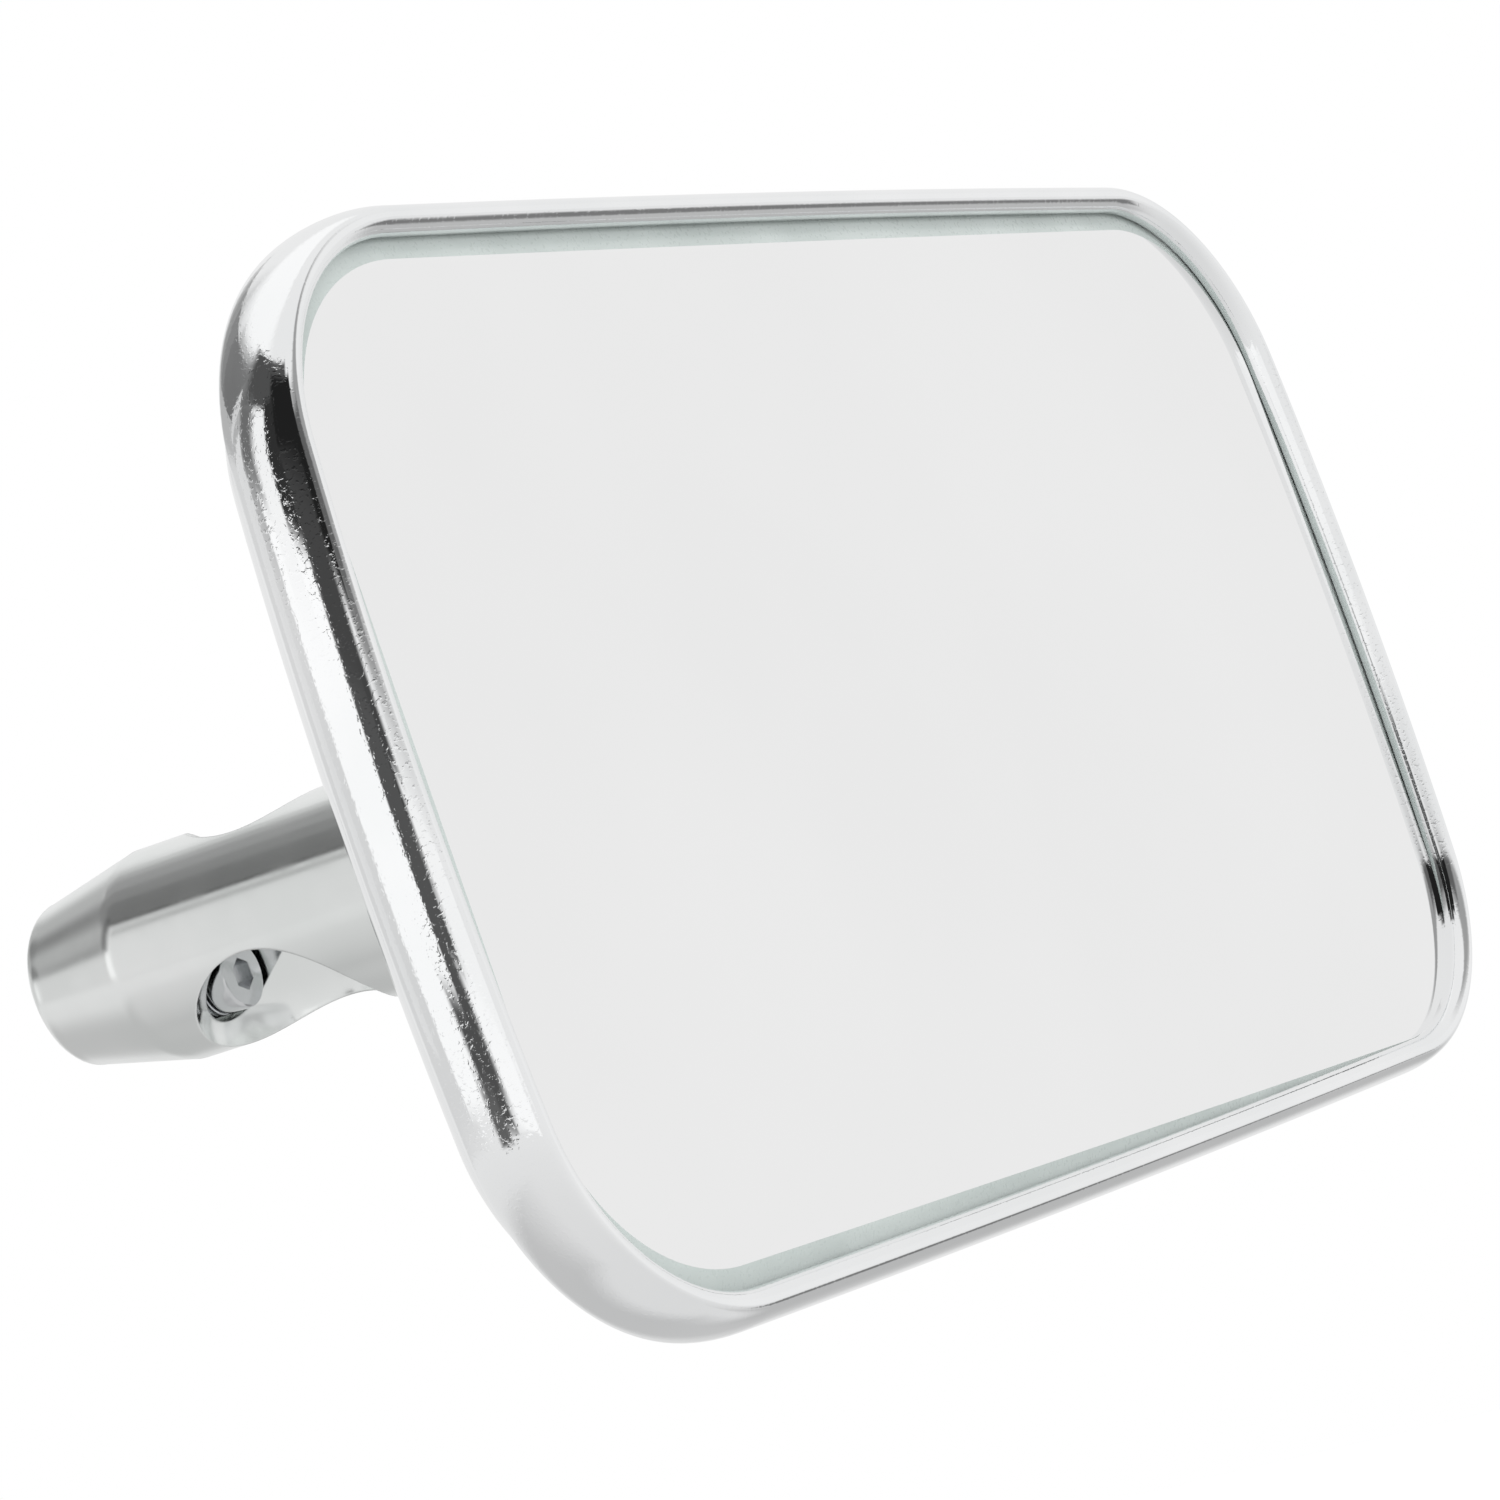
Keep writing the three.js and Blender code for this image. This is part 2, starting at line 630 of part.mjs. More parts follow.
// At no turn and no tilt the head's local +Z looks along -Y.
function makeMirror() {
  const mirror = new THREE.Group();
  mirror.add(makeArm());
  const pan = new THREE.Group();
  pan.position.y = BALL_Y;
  pan.rotation.z = THREE.MathUtils.degToRad(HEAD_PAN);
  mirror.add(pan);
  const liner = node("ball_liner", ballLiner(), nylon);
  liner.rotation.x = Math.PI / 2;
  pan.add(liner);
  const head = makeHead();
  head.rotation.x = Math.PI / 2 + THREE.MathUtils.degToRad(HEAD_TILT);
  pan.add(head);
  return mirror;
}

export default makeMirror();
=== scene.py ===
"""Chrome exterior mirror head on a short round arm, finished for rendering.

Metres in the scene, millimetres in the dimensions below, +Z up, origin at the arm's flat end face.
"""
import math

import bmesh
import bpy
from mathutils import Matrix, Vector


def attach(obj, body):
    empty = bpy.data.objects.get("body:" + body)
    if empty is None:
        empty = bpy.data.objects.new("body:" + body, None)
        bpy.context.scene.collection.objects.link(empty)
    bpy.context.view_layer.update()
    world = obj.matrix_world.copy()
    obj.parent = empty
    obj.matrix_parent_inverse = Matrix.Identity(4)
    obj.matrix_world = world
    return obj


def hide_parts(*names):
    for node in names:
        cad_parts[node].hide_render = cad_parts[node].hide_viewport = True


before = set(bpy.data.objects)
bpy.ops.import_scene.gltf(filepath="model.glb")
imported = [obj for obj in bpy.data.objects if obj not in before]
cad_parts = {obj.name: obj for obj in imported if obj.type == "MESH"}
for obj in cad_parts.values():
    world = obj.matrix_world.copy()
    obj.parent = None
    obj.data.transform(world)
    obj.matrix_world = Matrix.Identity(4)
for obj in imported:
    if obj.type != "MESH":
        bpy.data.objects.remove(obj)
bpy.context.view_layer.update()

MM = 0.001

# ---- dimensions, in millimetres ------------------------------------------------------------------

BALL_Y = -90.5
HEAD_PAN = -8
HEAD_TILT = -3.5
BEAD_HEIGHT = 16

# Rounded rectangles: half width, half height, corner radius, bow of the sides, bow of the top.
OUTSIDE = (82.9, 49.2, 22.3, 1.05, 0.36)
FLAT = (78.05, 44.45, 18, 0.1, 0.1)

BEAD_RADIUS = 1.55
BEAD_BACK = -0.75
BEZEL_WIDEST = -3.2
BEZEL_TUCK = 0.9
BEZEL_WALL = 0.9
BEZEL_REAR = -6.5
BEZEL_HEM = 3.0
HEM_THICKNESS = 0.7
LIP_STEP = 0.15

GLASS_INSET = 1.2
GLASS_BACK = -3.2
GLASS_FRONT = -0.6
GRIND_DROP = 0.9
FLAT_ACROSS = 0.4
FLAT_UP = -0.4
FLAT_SLOPE = -0.016

SHELL_BACK = -25
SHELL_WALL = 0.8
BOSS_RADIUS = 17.2
COLLAR_OPENING = 13.9
COLLAR_SECTION = ((13.9, -10.8), (16.4, -10.8), (17.2, -10.0), (17.2, -9.3), (13.9, -9.3))
COLLAR_EDGE = 0.35

ARM_RADIUS = 11.2
ARM_FRONT = -71.5
ARM_DOME = 4
ARM_ROLL = 21
NOSE_LENGTH = 12.75
NOSE_RADIUS = 8.8
NOSE_EDGE = 1.2

POCKET_RADIUS = 10.2
POCKET_Y = -27.7
POCKET_CENTRE = 11
SEAT_Y = -17
SEAT_RADIUS = 4.1
SCREW_OFFSET = 4.6
SCREW_HOLE = 2.3
SHANK_HOLE = 5.3
SHANK_HOLE_END = -54.7
PIN_HOLE = 1.8
PIN_HOLE_REACH = 12.2
PIN_Y = -62

# Profiles of turned pieces: pairs of radius and y, with a hair's breadth left open on the axis.
SCREW_PROFILE = ((0.01, -21.2), (3.5, -21.2), (3.5, -18.4), (2, -18.4), (2, -1.4), (1.4, -0.8), (0.01, -0.8))
SCREW_EDGE = 0.35
HEX_RADIUS = 1.75
HEX_MOUTH = -22
HEX_FLOOR = -19.4
WASHER_SECTION = ((2.3, -18.1), (3.5, -18.1), (3.5, -17.3), (2.3, -17.3))
WASHER_EDGE = 0.15
BALL_RADIUS = 7.5
NECK_RADIUS = 4
STUD_SHANK = ((4, -74.2), (5, -73.2), (6, -73.2), (6, -71.8), (5, -71.8), (5, -56), (4, -55), (0.01, -55))
STUD_EDGE = 0.3
STUD_PIN_REACH = 6

CORNER_STEPS = 30
SIDE_STEPS = 16
ROUND_STEPS = 160

# ---- placing ------------------------------------------------------------------------------------

BALL = Matrix.Translation((0, BALL_Y * MM, 0))
TURN = Matrix.Rotation(math.radians(HEAD_PAN), 4, "Z")
TILT = Matrix.Rotation(math.radians(90 + HEAD_TILT), 4, "X")
HEAD = BALL @ TURN @ TILT
FACE = HEAD @ Matrix.Translation((0, 0, BEAD_HEIGHT * MM))
ARM = Matrix.Rotation(math.radians(ARM_ROLL), 4, "Y")
PIN = ARM @ Matrix.Translation((0, PIN_Y * MM, 0)) @ Matrix.Rotation(math.radians(90), 4, "Z")


def screw_axis(side):
    return ARM @ Matrix.Translation((0, 0, side * SCREW_OFFSET * MM))


# ---- mesh tools ---------------------------------------------------------------------------------

def arc(x, y, radius, start, end, steps):
    """Points on an arc from one angle to another, in degrees."""
    found = []
    for i in range(steps + 1):
        angle = math.radians(start + (end - start) * i / steps)
        found.append((x + radius * math.cos(angle), y + radius * math.sin(angle)))
    return found


def oval(x, y, half_width, half_height, start, end, steps):
    """The same on an ellipse, with its two half-widths."""
    unit = arc(0, 0, 1, start, end, steps)
    return [(x + half_width * a, y + half_height * b) for a, b in unit]


def bow_radius(half_chord, bow):
    return (half_chord**2 + bow**2) / (2 * bow)


def outline(inset, shape=OUTSIDE):
    """A rounded rectangle with slightly bowed sides, moved inward by an inset."""
    half_width, half_height, corner, side_bow, top_bow = shape
    side = bow_radius(half_height - corner, side_bow)
    top = bow_radius(half_width - corner, top_bow)
    x, y = half_width - corner, half_height - corner
    for _ in range(20):
        x = half_width - side + math.sqrt((side - corner) ** 2 - y**2)
        y = half_height - top + math.sqrt((top - corner) ** 2 - x**2)
    to_side = math.degrees(math.atan2(y, x - half_width + side))
    to_top = math.degrees(math.atan2(y - half_height + top, x))
    upper = arc(half_width - side, 0, side - inset, -to_side, to_side, SIDE_STEPS)[:-1]
    upper += arc(x, y, corner - inset, to_side, to_top, CORNER_STEPS)[:-1]
    upper += arc(0, half_height - top, top - inset, to_top, 180 - to_top, SIDE_STEPS)[:-1]
    upper += arc(-x, y, corner - inset, 180 - to_top, 180 - to_side, CORNER_STEPS)[:-1]
    return upper + [(-a, -b) for a, b in upper]


def flat_outline():
    """The edge of the polished flat of the glass. The rim round it narrows along the bottom."""
    half_height = FLAT[1]
    found = []
    for x, y in outline(0, FLAT):
        lowness = (half_height - y) / (2 * half_height)
        found.append((x + FLAT_ACROSS, y + FLAT_UP + FLAT_SLOPE * x * lowness))
    return found


def ring_outline(radius):
    count = len(outline(0))
    turn = 2 * math.pi / count
    angles = [(i - SIDE_STEPS / 2) * turn for i in range(count)]
    return [(radius * math.cos(a), radius * math.sin(a)) for a in angles]


def blend_outline(inset, radius, share):
    pairs = zip(outline(inset), ring_outline(radius))
    return [(a + (c - a) * share, b + (d - b) * share) for (a, b), (c, d) in pairs]


def level(contour, z):
    return [Vector((x, y, z)) for x, y in contour]


def smooth_levels(levels, steps):
    """Runs a curve through the levels, so that the wall between them has no creases."""
    padded = [levels[0], *levels, levels[-1]]
    found = []
    for before, start, end, after in zip(padded, padded[1:], padded[2:], padded[3:]):
        for i in range(steps):
            t = i / steps
            found.append([spline(points, t) for points in zip(before, start, end, after)])
    return found + [levels[-1]]


def spline(points, t):
    a, b, c, d = points
    slope_b, slope_c = (c - a) / 2, (d - b) / 2
    return (
        b * (2 * t**3 - 3 * t**2 + 1)
        + slope_b * (t**3 - 2 * t**2 + t)
        + c * (3 * t**2 - 2 * t**3)
        + slope_c * (t**3 - t**2)
    )


def soften(bm, sharp):
    """Shades a mesh smooth. Edges sharper than the angle, in degrees, stay crisp."""
    for face in bm.faces:
        face.smooth = True
    for edge in bm.edges:
        edge.smooth = edge.calc_face_angle(0) < math.radians(sharp)


def finish_mesh(name, bm, matrix, sharp=35):
    """Makes an object from a bmesh drawn in millimetres."""
    bmesh.ops.scale(bm, vec=(MM, MM, MM), verts=bm.verts)
    bmesh.ops.transform(bm, matrix=matrix, verts=bm.verts)
    bmesh.ops.recalc_face_normals(bm, faces=bm.faces)
    soften(bm, sharp)
    mesh = bpy.data.meshes.new(name)
    bm.to_mesh(mesh)
    bm.free()
    piece = bpy.data.objects.new(name, mesh)
    bpy.context.scene.collection.objects.link(piece)
    return piece


def loft_into(bm, levels, is_ring):
    """Adds a wall through levels of equal point counts. It closes into a ring, or gets flat ends."""
    loops = [[bm.verts.new(point) for point in points] for points in levels]
    pairs = list(zip(loops, loops[1:]))
    if is_ring:
        pairs.append((loops[-1], loops[0]))
    for low, high in pairs:
        for i in range(len(low)):
            j = (i + 1) % len(low)
            bm.faces.new((low[i], low[j], high[j], high[i]))
    if not is_ring:
        bm.faces.new(list(reversed(loops[0])))
        bm.faces.new(loops[-1])


def turn_into(bm, profile, steps, is_ring=False):
    """Adds a solid turned about Y from (radius, y) pairs; one that isn't a ring gets flat ends."""
    angles = [2 * math.pi * i / steps for i in range(steps)]
    levels = []
    for radius, y in profile:
        levels.append([Vector((radius * math.cos(a), y, radius * math.sin(a))) for a in angles])
    loft_into(bm, levels, is_ring)


def turned(name, profile, matrix, steps=ROUND_STEPS, is_ring=False, sharp=35):
    bm = bmesh.new()
    turn_into(bm, profile, steps, is_ring)
    return finish_mesh(name, bm, matrix, sharp)


def rounded(profile, radius, steps=4, closed=False):
    """Rounds the corners of a profile of (radius, y) pairs with short arcs."""
    count = len(profile)
    found = []
    for i, point in enumerate(profile):
        if not closed and i in (0, count - 1):
            found.append(point)
            continue
        corner = Vector(point)
        back = Vector(profile[i - 1]) - corner
        ahead = Vector(profile[(i + 1) % count]) - corner
        reach = min(radius, back.length * 0.45, ahead.length * 0.45)
        start, end = corner + back.normalized() * reach, corner + ahead.normalized() * reach
        for k in range(steps + 1):
            t = k / steps
            curve = start * (1 - t) ** 2 + corner * 2 * t * (1 - t) + end * t**2
            found.append(tuple(curve))
    return found


def subtract(piece, cutters):
    """Cuts other objects out of a piece, for good, and removes them."""
    for cutter in cutters:
        modifier = piece.modifiers.new("cut", "BOOLEAN")
        modifier.operation = "DIFFERENCE"
        modifier.solver = "EXACT"
        modifier.object = cutter
    bpy.context.view_layer.update()
    evaluated = piece.evaluated_get(bpy.context.evaluated_depsgraph_get())
    cut_mesh = bpy.data.meshes.new_from_object(evaluated)
    piece.modifiers.clear()
    piece.data = cut_mesh
    for cutter in cutters:
        bpy.data.objects.remove(cutter)
    bm = bmesh.new()
    bm.from_mesh(cut_mesh)
    soften(bm, 25)
    bm.to_mesh(cut_mesh)
    bm.free()
    return piece


def rod(radius, start, end, matrix, steps=96):
    return turned("cutter", [(radius, start), (radius, end)], matrix, steps)


def ball(radius, centre, matrix):
    bm = bmesh.new()
    bmesh.ops.create_uvsphere(bm, u_segments=128, v_segments=64, radius=radius)
    bmesh.ops.translate(bm, verts=bm.verts, vec=centre)
    return finish_mesh("cutter", bm, matrix)


# ---- materials ----------------------------------------------------------------------------------

class Nodes:
    """Short names for the nodes of one material."""

    def __init__(self, name):
        self.material = bpy.data.materials.new(name)
        self.material.use_nodes = True
        self.tree = self.material.node_tree
        self.shader = self.tree.nodes["Principled BSDF"]
        self.coordinates = self.add("ShaderNodeTexCoord").outputs["Object"]

    def add(self, kind):
        return self.tree.nodes.new(kind)

    def link(self, source, target):
        self.tree.links.new(source, target)

    def set(self, **values):
        for name, value in values.items():
            self.shader.inputs[name.replace("_", " ")].default_value = value

    def noise(self, scale, detail=3.0, stretch=(1, 1, 1)):
        """Noise at a scale in cells per metre, stretched along the axes."""
        mapping = self.add("ShaderNodeMapping")
        mapping.inputs["Scale"].default_value = stretch
        self.link(self.coordinates, mapping.inputs["Vector"])
        texture = self.add("ShaderNodeTexNoise")
        texture.inputs["Scale"].default_value = scale
        texture.inputs["Detail"].default_value = detail
        self.link(mapping.outputs["Vector"], texture.inputs["Vector"])
        return texture.outputs["Fac"]

    def ramp(self, source, low, high, start=0.35, end=0.65):
        """Two values, or two colours, picked by a source between start and end."""
        node = self.add("ShaderNodeValToRGB")
        first, last = node.color_ramp.elements
        first.position, last.position = start, end
        first.color, last.color = as_colour(low), as_colour(high)
        self.link(source, node.inputs["Fac"])
        return node.outputs["Color"]

    def bump(self, source, distance, strength=1.0, under=None):
        """Raises the surface by a source, up to a distance in metres, over another bump."""
        node = self.add("ShaderNodeBump")
        node.inputs["Distance"].default_value = distance
        node.inputs["Strength"].default_value = strength
        self.link(source, node.inputs["Height"])
        if under is not None:
            self.link(under, node.inputs["Normal"])
        return node.outputs["Normal"]

    def rounded_edges(self, radius):
        node = self.add("ShaderNodeBevel")
        node.samples = 4
        node.inputs["Radius"].default_value = radius
        return node.outputs["Normal"]


def as_colour(value):
    if isinstance(value, (int, float)):
        return (value, value, value, 1)
    return (*value, 1)


def metal(name, dark, light, smooth, rough, grain=700.0, relief=0.0, edge=0.0, stretch=(1, 1, 1)):
    """A metal whose tint and roughness drift a little, with fine relief in the plating."""
    nodes = Nodes(name)
    nodes.set(Metallic=1.0)
    tint = nodes.ramp(nodes.noise(60.0), dark, light)
    nodes.link(tint, nodes.shader.inputs["Base Color"])
    polish = nodes.ramp(nodes.noise(grain, 4.0, stretch), smooth, rough)
    nodes.link(polish, nodes.shader.inputs["Roughness"])
    normal = nodes.rounded_edges(edge) if edge else None
    if relief:
        normal = nodes.bump(nodes.noise(grain, 2.0, stretch), relief, under=normal)
    if normal is not None:
        nodes.link(normal, nodes.shader.inputs["Normal"])
    return nodes.material


def plated(name, dark, light, smooth, rough, pits, waves):
    """Bright plating: a slow waviness of the steel under it, and scattered fine pits."""
    nodes = Nodes(name)
    nodes.set(Metallic=1.0)
    nodes.link(nodes.ramp(nodes.noise(60.0), dark, light), nodes.shader.inputs["Base Color"])
    nodes.link(nodes.ramp(nodes.noise(500.0, 4.0), smooth, rough), nodes.shader.inputs["Roughness"])
    waviness = nodes.bump(nodes.noise(140.0, 1.0), waves)
    scatter = nodes.ramp(nodes.noise(2600.0, 2.0), 0.0, 1.0, 0.54, 0.72)
    normal = nodes.bump(scatter, pits, under=waviness)
    nodes.link(normal, nodes.shader.inputs["Normal"])
    return nodes.material


def plain(name, dark, light, roughness, scale, relief):
    """A non-metal with mottled colour and a fine surface texture."""
    nodes = Nodes(name)
    nodes.link(nodes.ramp(nodes.noise(scale), dark, light), nodes.shader.inputs["Base Color"])
    nodes.set(Roughness=roughness)
    nodes.link(nodes.bump(nodes.noise(scale * 4), relief), nodes.shader.inputs["Normal"])
    return nodes.material


def mirror_face():
    """Silvered glass, seen from the front: nearly all of the light comes back."""
    nodes = Nodes("mirror_face")
    nodes.set(Metallic=1.0)
    haze = nodes.noise(25.0)
    nodes.link(nodes.ramp(haze, 0.93, 0.945), nodes.shader.inputs["Base Color"])
    nodes.link(nodes.ramp(nodes.noise(40.0), 0.0, 0.012), nodes.shader.inputs["Roughness"])
    return nodes.material


def ground_edge():
    """The ground rim of the glass, frosted and faintly green."""
    nodes = Nodes("ground_edge")
    cloud = nodes.noise(90.0, 3.0)
    tint = nodes.ramp(cloud, (0.53, 0.59, 0.57), (0.60, 0.66, 0.64))
    nodes.link(tint, nodes.shader.inputs["Base Color"])
    nodes.link(nodes.ramp(nodes.noise(2500.0), 0.26, 0.34), nodes.shader.inputs["Roughness"])
    nodes.link(nodes.bump(nodes.noise(5000.0, 2.0), 0.000002), nodes.shader.inputs["Normal"])
    nodes.set(Coat_Weight=0.6, Coat_Roughness=0.15)
    return nodes.material


BRIGHT_CHROME = plated("bright_chrome", (0.91, 0.92, 0.925), (0.95, 0.955, 0.96), 0.02, 0.05, 4e-6, 3e-6)
SHELL_CHROME = plated("shell_chrome", (0.89, 0.90, 0.905), (0.93, 0.935, 0.94), 0.03, 0.07, 1e-6, 4e-6)
SATIN_CHROME = metal("satin_chrome", (0.84, 0.86, 0.85), (0.89, 0.90, 0.895), 0.12, 0.18, 300.0, 3e-7, 3e-4)
ZINC = metal("zinc_steel", (0.62, 0.64, 0.66), (0.74, 0.75, 0.76), 0.22, 0.38, 1800.0, 1e-6, 2e-4)
TURNED_ZINC = metal("turned_steel", (0.70, 0.71, 0.73), (0.80, 0.81, 0.82), 0.12, 0.22, 900.0, 6e-7, 2e-4)
SCREW_STEEL = metal("screw_steel", (0.66, 0.67, 0.68), (0.74, 0.75, 0.76), 0.10, 0.2, 900.0, 6e-7, 2e-4)
DARK_STEEL = metal("dark_steel", (0.10, 0.10, 0.11), (0.16, 0.16, 0.17), 0.45, 0.6, 1500.0, 3e-6)
SILVER = metal("silver_layer", (0.90, 0.90, 0.90), (0.94, 0.94, 0.94), 0.01, 0.03)
FOAM = plain("foam", (0.08, 0.08, 0.09), (0.13, 0.13, 0.14), 0.9, 900.0, 0.00004)
RUBBER = plain("rubber", (0.02, 0.02, 0.022), (0.04, 0.04, 0.043), 0.75, 500.0, 0.00001)
NYLON = plain("nylon", (0.74, 0.72, 0.65), (0.83, 0.81, 0.75), 0.42, 300.0, 0.000008)
MIRROR_FACE = mirror_face()
GROUND_EDGE = ground_edge()

CAD_MATERIALS = {
    "silver_backing": SILVER,
    "glass_cushion": FOAM,
    "edge_gasket": RUBBER,
    "backing_plate": DARK_STEEL,
    "disc_spring": DARK_STEEL,
    "clamp_plate": ZINC,
    "clamp_screw_1": ZINC,
    "clamp_screw_2": ZINC,
    "clamp_screw_3": ZINC,
    "stud_lock_pin": ZINC,
    "ball_liner": NYLON,
    "pressure_ring": ZINC,
    "socket_housing": ZINC,
}


def paint(piece, *materials):
    """Gives a piece its materials. With more than one, each face keeps the number of its own."""
    slots = [polygon.material_index for polygon in piece.data.polygons]
    piece.data.materials.clear()
    for material in materials:
        piece.data.materials.append(material)
    if len(materials) == 1:
        slots = [0] * len(slots)
    piece.data.polygons.foreach_set("material_index", slots)
    return piece


def place(piece, body, slot, *nodes):
    """Parents a finished piece to its body in place of its CAD nodes, which it hides."""
    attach(piece, body)
    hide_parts(*nodes)


# ---- head ---------------------------------------------------------------------------------------

def make_bezel():
    hem_front = BEZEL_REAR + HEM_THICKNESS
    front_height = BEAD_RADIUS - BEZEL_WIDEST
    rear_height = BEZEL_WIDEST - BEZEL_REAR
    section = arc(BEAD_RADIUS, 0, BEAD_RADIUS, 0, 90, 14)
    section += oval(BEAD_RADIUS, BEZEL_WIDEST, BEAD_RADIUS, front_height, 90, 180, 28)[1:]
    section += oval(BEZEL_TUCK, BEZEL_WIDEST, BEZEL_TUCK, rear_height, 180, 270, 16)[1:]
    section += [(BEZEL_HEM, BEZEL_REAR), (BEZEL_HEM, hem_front)]
    section += [(BEZEL_WALL, hem_front), (BEZEL_WALL, BEAD_BACK), (2 * BEAD_RADIUS - LIP_STEP, BEAD_BACK)]
    bm = bmesh.new()
    loft_into(bm, [level(outline(inset), z) for inset, z in section], True)
    bezel = paint(finish_mesh("bezel", bm, FACE, 40), BRIGHT_CHROME)
    place(bezel, "head", "chrome_bright", "bezel_ring")


def make_shell():
    outer = [
        level(outline(BEZEL_HEM + 0.3), -5.5),
        level(outline(3.7), -8),
        level(outline(5.6), -11),
        level(outline(10), -14.4),
        level(outline(16), -17),
        level(blend_outline(18, 30, 0.5), -19),
        level(ring_outline(30), -20),
        level(ring_outline(22), -21.4),
        level(ring_outline(19.2), -23.2),
        level(ring_outline(18.2), -24.6),
        level(ring_outline(BOSS_RADIUS), SHELL_BACK),
    ]
    inner = [
        level(ring_outline(17), SHELL_BACK + SHELL_WALL),
        level(ring_outline(18.2), -22.8),
        level(ring_outline(21.4), -20.6),
        level(ring_outline(29.6), -20 + SHELL_WALL),
        level(blend_outline(18.2, 29.6, 0.5), -19 + SHELL_WALL),
        level(outline(16.2), -17 + SHELL_WALL),
        level(outline(10.5), -13.7),
        level(outline(6.3), -10.5),
        level(outline(4.5), -7.8),
        level(outline(4.2), -4.8),
    ]
    levels = [level(outline(1.2), -4.8), level(outline(1.2), -5.5), *smooth_levels(outer, 5)]
    levels += [level(ring_outline(COLLAR_OPENING), SHELL_BACK)]
    levels += [level(ring_outline(COLLAR_OPENING), SHELL_BACK + SHELL_WALL), *smooth_levels(inner, 2)]
    bm = bmesh.new()
    loft_into(bm, levels, True)
    shell = paint(finish_mesh("shell", bm, FACE), SHELL_CHROME)
    place(shell, "head", "chrome_bright", "back_shell")


def make_glass():
    bm = bmesh.new()
    levels = [
        level(outline(GLASS_INSET), GLASS_BACK),
        level(outline(GLASS_INSET), GLASS_FRONT - GRIND_DROP),
        level(flat_outline(), GLASS_FRONT),
    ]
    loft_into(bm, levels, False)
    bm.faces.ensure_lookup_table()
    bm.faces[-1].material_index = 1
    glass = paint(finish_mesh("mirror", bm, FACE, 3), GROUND_EDGE, MIRROR_FACE)
    place(glass, "head", "mirror_silver", "mirror_glass")


def make_collar():
    profile = rounded(COLLAR_SECTION, COLLAR_EDGE, closed=True)
    upright = HEAD @ Matrix.Rotation(math.radians(90), 4, "X")
    collar = paint(turned("collar", profile, upright, is_ring=True), BRIGHT_CHROME)
    place(collar, "head", "chrome_bright", "collar_ring")


# ---- arm ----------------------------------------------------------------------------------------

def stations(start, end, step):
    count = max(1, round(abs(end - start) / step))
    return [start + (end - start) * i / count for i in range(count + 1)]


def make_arm():
    profile = arc(NOSE_RADIUS - NOSE_EDGE, -NOSE_EDGE, NOSE_EDGE, 90, 0, 8)
    slope = (ARM_RADIUS - NOSE_RADIUS) / (NOSE_LENGTH - NOSE_EDGE)
    for y in stations(-NOSE_EDGE, -NOSE_LENGTH, 1)[1:]:
        profile.append((NOSE_RADIUS + slope * (-NOSE_EDGE - y), y))
    profile += [(ARM_RADIUS, y) for y in stations(-NOSE_LENGTH, ARM_FRONT + ARM_DOME, 1)[1:]]
    profile += arc(ARM_RADIUS - ARM_DOME, ARM_FRONT + ARM_DOME, ARM_DOME, 0, -90, 12)[1:]
    profile = list(reversed(profile))
    casting = turned("arm", profile, ARM, 200)
    cutters = []
    for side in (-1, 1):
        seat = screw_axis(side)
        cutters.append(ball(POCKET_RADIUS, (0, POCKET_Y, side * POCKET_CENTRE), ARM))
        cutters.append(rod(SEAT_RADIUS, POCKET_Y, SEAT_Y, seat))
        cutters.append(rod(SCREW_HOLE, SEAT_Y - 1, 1, seat))
    cutters.append(rod(SHANK_HOLE, ARM_FRONT - 1, SHANK_HOLE_END, ARM))
    cutters.append(rod(PIN_HOLE, -PIN_HOLE_REACH, PIN_HOLE_REACH, PIN))
    paint(subtract(casting, cutters), SATIN_CHROME)
    place(casting, "arm", "chrome_satin", "arm_casting")


def make_screws():
    for label, side in (("lower", -1), ("upper", 1)):
        spot = screw_axis(side)
        screw = turned(f"screw_{label}", rounded(SCREW_PROFILE, SCREW_EDGE), spot, 72)
        socket = rod(HEX_RADIUS, HEX_MOUTH, HEX_FLOOR, spot, 6)
        paint(subtract(screw, [socket]), SCREW_STEEL)
        place(screw, "arm", "steel_zinc", f"mounting_screw_{label}")
        rim = rounded(WASHER_SECTION, WASHER_EDGE, closed=True)
        washer = paint(turned(f"washer_{label}", rim, spot, 72, True), ZINC)
        place(washer, "arm", "steel_zinc", f"screw_washer_{label}")


def make_stud():
    top = math.degrees(math.acos(NECK_RADIUS / BALL_RADIUS))
    profile = arc(0, BALL_Y, BALL_RADIUS, -89.9, top, 36)
    profile += rounded([profile[-1], *STUD_SHANK], STUD_EDGE)[1:]
    stud = turned("stud", profile, ARM, 96)
    hole = rod(PIN_HOLE, -STUD_PIN_REACH, STUD_PIN_REACH, PIN, 48)
    paint(subtract(stud, [hole]), TURNED_ZINC)
    place(stud, "arm", "steel_zinc", "ball_stud")


# ---- studio -------------------------------------------------------------------------------------

CAMERA_PLACE = (-0.3818, -0.2770, -0.0261)
CAMERA_TARGET = (0.0630, -0.0507, 0.0055)
CAMERA_ROLL = -16.65
CAMERA_LENS = 108
SENSOR_WIDTH = 36
FLOOR_Z = -0.6
FLOOR_REACH = 4


